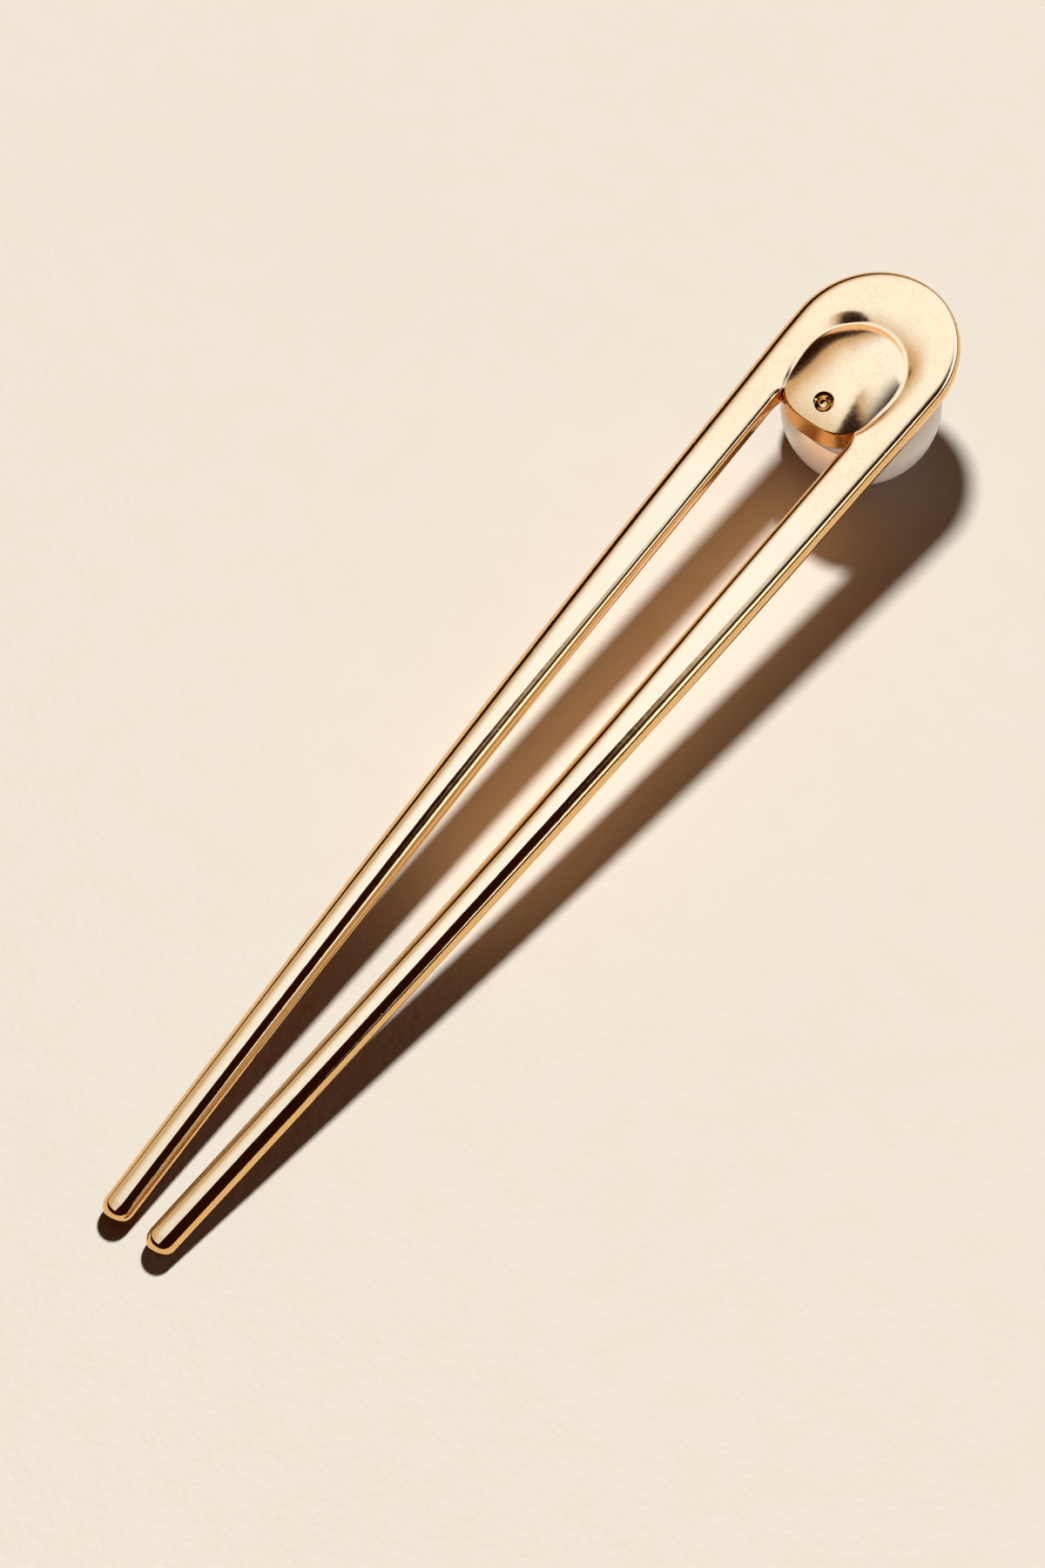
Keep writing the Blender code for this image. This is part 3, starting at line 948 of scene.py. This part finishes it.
def paleCard():
    # Uncoated card: warm white with faint fibre clouds
    material, tree = newMaterial("paleCard")
    place = addNode(tree, "TexCoord", {}, {})["Object"]
    marks = {}
    for name, detail in (("cloud", 5.0), ("fleck", 4.0), ("fibre", 4.0)):
        marks[name] = addNode(tree, "TexNoise", {}, {
            "Vector": place, "Scale": 1 / (card[name + "Size"] * mm), "Detail": detail})["Fac"]
    tone = addNode(tree, "Mix", colours, {
        0: marks["cloud"], 6: linear(card["tones"][0]), 7: linear(card["tones"][1])})[2]
    flecks = addNode(tree, "MapRange", softRamp, {
        "Value": marks["fleck"], "From Min": card["fleckRange"][0],
        "From Max": card["fleckRange"][1], "To Max": card["fleckShare"]})[0]
    tone = addNode(tree, "Mix", colours, {0: flecks, 6: tone, 7: linear(card["fleckTone"])})[2]
    # Light that the card gets back from itself, a second time or by way of the gold, is dimmed,
    # so that shadows stay as deep as in the photo
    ray = addNode(tree, "LightPath", {}, {})
    bounces = ray["Diffuse Depth"]
    again = addNode(tree, "Math", {"operation": "GREATER_THAN"}, {0: bounces, 1: 1.5})[0]
    mirrored = addNode(tree, "Math", {"operation": "GREATER_THAN"}, {0: bounces, 1: 0.5})[0]
    mirrored = addNode(tree, "Math", product, {0: ray["Is Glossy Ray"], 1: mirrored})[0]
    again = addNode(tree, "Math", {"operation": "MAXIMUM"}, {0: again, 1: mirrored})[0]
    tone = addNode(tree, "Mix", colours, {0: again, 6: tone, 7: linear(card["dimmed"])})[2]
    relief = addNode(tree, "Bump", {}, {
        "Strength": card["fibreBump"], "Distance": card["fibreHeight"] * mm,
        "Height": marks["fibre"]})[0]
    fillInputs(tree, tree.nodes["Principled BSDF"], {
        "Base Color": tone, "Roughness": card["roughness"], "Specular IOR Level": 0.0,
        "Normal": relief})
    return material


def addKeyLamp():
    # As bright on every spot of the floor, near or far
    light = bpy.data.lights.new("keyLamp", "POINT")
    light.shadow_soft_size = keyLamp["radius"]
    light.energy = keyLamp["power"]
    light.color = linear(keyLamp["colour"])[:3]
    light.use_nodes = True
    tree = light.node_tree
    direction = addNode(tree, "TexCoord", {}, {})["Normal"]
    down = addNode(tree, "SeparateXYZ", {}, {0: direction})[2]
    down = addNode(tree, "Math", {"operation": "ABSOLUTE"}, {0: down})[0]
    even = addNode(tree, "Math", {"operation": "DIVIDE"}, {0: 1.0, 1: down})[0]
    even = addNode(tree, "Math", {"operation": "MINIMUM"}, {0: even, 1: keyLamp["evenUpTo"]})[0]
    steady = addNode(tree, "LightFalloff", {}, {"Strength": even})["Constant"]
    fillInputs(tree, tree.nodes["Emission"], {"Strength": steady})
    lamp = addObject("keyLamp", light)
    lamp.location = keyLamp["place"]
    lamp.visible_glossy = False


def addPanel(name, towards, place, size, power, colour):
    # A lit rectangle that only lights matt surfaces, turned to face along towards
    light = bpy.data.lights.new(name, "AREA")
    light.shape = "RECTANGLE"
    light.size, light.size_y = size
    light.energy = power
    light.color = linear(colour)[:3]
    lamp = addObject(name, light)
    lamp.location = place
    lamp.rotation_euler = Vector(towards).to_track_quat("-Z", "Y").to_euler()
    lamp.visible_glossy = lamp.visible_camera = False


def lit(name):
    # One of the sheet's colours at its own brightness
    colour, brightness = sheet[name]
    return (*(channel * brightness for channel in linear(colour)[:3]), 1)


def litSheet():
    # A cloth with lit and unlit fields, which shows in mirrors and lights no matt surface
    material, tree = newMaterial("litSheet")
    tree.nodes.remove(tree.nodes["Principled BSDF"])
    place = addNode(tree, "TexCoord", {}, {})["Object"]
    across, along, _ = addNode(tree, "SeparateXYZ", {}, {0: place})
    near, far, before, after = sheet["edge"]
    edge = addNode(tree, "MapRange", softRamp, {
        "Value": across, "From Min": near, "From Max": far, "To Min": before, "To Max": after})[0]
    pastEdge = addNode(tree, "Math", {"operation": "SUBTRACT"}, {0: along, 1: edge})[0]
    slanted = addNode(tree, "Math", {"operation": "MULTIPLY_ADD"}, {
        0: along, 1: -sheet["slant"], 2: across})[0]
    directions = dict(across=across, along=along, pastEdge=pastEdge, slanted=slanted)
    colour = lit("tan")
    for name, ramps in sheetFields:
        share = 1.0
        for direction, near, far, before, after in ramps:
            part = addNode(tree, "MapRange", softRamp, {
                "Value": directions[direction], "From Min": near, "From Max": far,
                "To Min": before, "To Max": after})[0]
            share = addNode(tree, "Math", product, {0: share, 1: part})[0]
        colour = addNode(tree, "Mix", colours, {0: share, 6: colour, 7: lit(name)})[2]
    bounces = addNode(tree, "LightPath", {}, {})["Diffuse Depth"]
    mirrored = addNode(tree, "Math", {"operation": "LESS_THAN"}, {0: bounces, 1: 0.5})[0]
    glow = addNode(tree, "Emission", {}, {"Color": colour, "Strength": mirrored})[0]
    fillInputs(tree, tree.nodes["Material Output"], {"Surface": glow})
    return material


def hangSheet():
    hung = addLevelSheet("litSheet", sheet["halfSize"], litSheet())
    hung.location.z = sheet["height"]
    hung.visible_camera = hung.visible_diffuse = False
    hung.visible_transmission = hung.visible_shadow = False


def makeWorld():
    # Brown shade on matt surfaces, the sheet's dark in mirrors, a pale backdrop for the camera
    world = bpy.data.worlds.new("studio")
    world.use_nodes = True
    tree = world.node_tree
    ray = addNode(tree, "LightPath", {}, {})
    bounces = ray["Diffuse Depth"]
    mirrored = addNode(tree, "Math", {"operation": "LESS_THAN"}, {0: bounces, 1: 0.5})[0]
    inMirrors = addNode(tree, "Mix", colours, {
        0: mirrored, 6: linear(room["shade"]), 7: lit("dark")})[2]
    colour = addNode(tree, "Mix", colours, {
        0: ray["Is Camera Ray"], 6: linear(room["shade"]), 7: linear(room["backdrop"])})[2]
    colour = addNode(tree, "Mix", colours, {0: ray["Is Glossy Ray"], 6: colour, 7: inMirrors})[2]
    fillInputs(tree, tree.nodes["Background"], {"Color": colour})
    bpy.context.scene.world = world
    bpy.context.scene.view_settings.view_transform = "Standard"


def makeCamera():
    camera = bpy.data.cameras.new("photoCamera")
    camera.lens = photoCamera["lens"]
    camera.sensor_width = photoCamera["film"]
    camera.clip_start = photoCamera["nearest"]
    eye = addObject("photoCamera", camera)
    eye.location = photoCamera["place"]
    eye.rotation_euler = [radians(degrees) for degrees in photoCamera["turn"]]
    bpy.context.scene.camera = eye


addLevelSheet("floorCard", card["halfSize"], paleCard())
addKeyLamp()
addPanel("rightWindow", -Vector(window["place"]), **window)
addPanel("gapGlow", (0, 0, -1), **gapGlow)
hangSheet()
makeWorld()
makeCamera()
print("floor, light and camera set")
